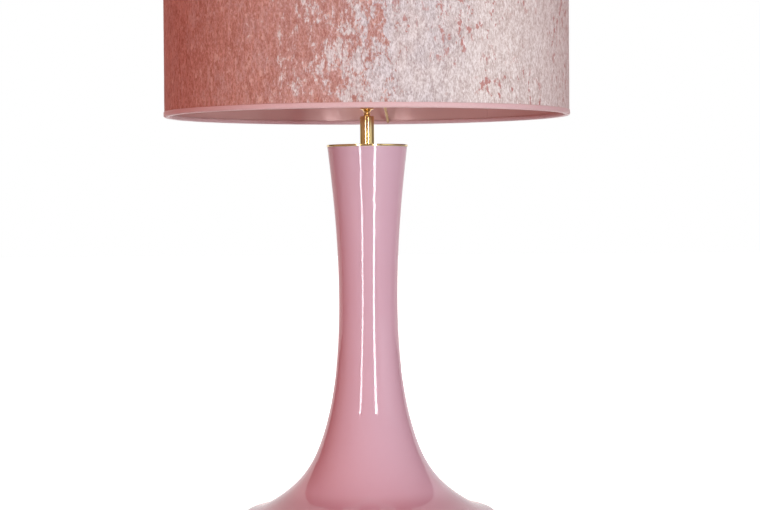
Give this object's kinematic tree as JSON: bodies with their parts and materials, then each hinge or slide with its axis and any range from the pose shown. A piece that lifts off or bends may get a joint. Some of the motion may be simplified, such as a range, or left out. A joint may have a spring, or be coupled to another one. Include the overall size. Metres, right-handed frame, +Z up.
{
  "type": "table lamp",
  "caption": "Table lamp with a flared glass column on a weighted foot, a turned brass neck and a velvet drum shade.",
  "frame": {"origin": "middle of the felt's underside, at table level", "axes": "+Z up along the lamp's axis, +Y the way the cord leaves the foot"},
  "size_m": [0.4511, 0.4512, 0.7155],
  "materials": {
    "pink_glass": "glossy, cased opal",
    "polished_brass": "polished",
    "brass_plate": "brass plated, satin",
    "velvet": "crushed velvet",
    "trim_fabric": "satin weave",
    "lining": "satin, rose silver laminate",
    "white_wire": "powder coated",
    "cast_iron": "rough",
    "zinc_steel": "zinc plated",
    "clear_rubber": "matte",
    "black_rubber": "matte",
    "felt": "pressed felt",
    "black_resin": "satin",
    "porcelain": "unglazed",
    "nickel": "nickel plated",
    "bulb_glass": "clear",
    "black_glass": "glossy",
    "phosphor": "satin"
  },
  "bodies": {
    "base": {"felt_pad": "felt", "base_pan": "brass_plate", "ballast_weight": "cast_iron", "bottom_washer": "zinc_steel", "bottom_nut": "zinc_steel", "cord_gland": "black_rubber", "stem_rod": "zinc_steel", "glass_gasket": "clear_rubber", "glass_body": "pink_glass", "mouth_gasket": "clear_rubber", "brass_cap": "polished_brass", "turned_neck": "polished_brass", "upper_nipple": "zinc_steel", "holder_cup": "polished_brass", "holder_base": "black_resin", "holder_body": "black_resin", "socket_insert": "porcelain", "screw_shell": "nickel", "center_contact": "polished_brass", "terminal_screws": "zinc_steel"},
    "shade_clamp": {"shade_ring_nut": "black_resin"},
    "shade": {"bottom_ring": "white_wire", "top_ring": "white_wire", "shade_panel": "lining", "shade_velvet": "velvet", "bottom_trim": "trim_fabric", "top_trim": "trim_fabric", "fitter_hub": "brass_plate", "spider_arm_1": "brass_plate", "spider_arm_2": "brass_plate", "spider_arm_3": "brass_plate"},
    "bulb_carriage": {"bulb_tip": "zinc_steel"},
    "bulb": {"bulb_insulator": "black_glass", "bulb_cap": "nickel", "bulb_glass": "bulb_glass", "filament_stem": "bulb_glass", "filament_wires": "zinc_steel", "led_filaments": "phosphor"}
  },
  "joints": [
    {"name": "shade_lift", "type": "slide", "parent": "base", "child": "shade_clamp", "axis": [0, 0, 1], "range_m": [0, 0.22]},
    {"name": "shade_turn", "type": "hinge", "parent": "shade_clamp", "child": "shade", "pos_m": [0, 0, 0.552], "axis": [0, 0, 1], "continuous": true},
    {"name": "bulb_rise", "type": "slide", "parent": "base", "child": "bulb_carriage", "axis": [0, 0, 1], "range_m": [0, 0.0146]},
    {"name": "bulb_turn", "type": "hinge", "parent": "bulb_carriage", "child": "bulb", "pos_m": [0, 0, 0.549], "axis": [0, 0, 1], "range_deg": [0, 1440]}
  ],
  "couplings": [
    {"joint": "bulb_rise", "follows": "bulb_turn", "m_per_rad": 0.00057757}
  ]
}
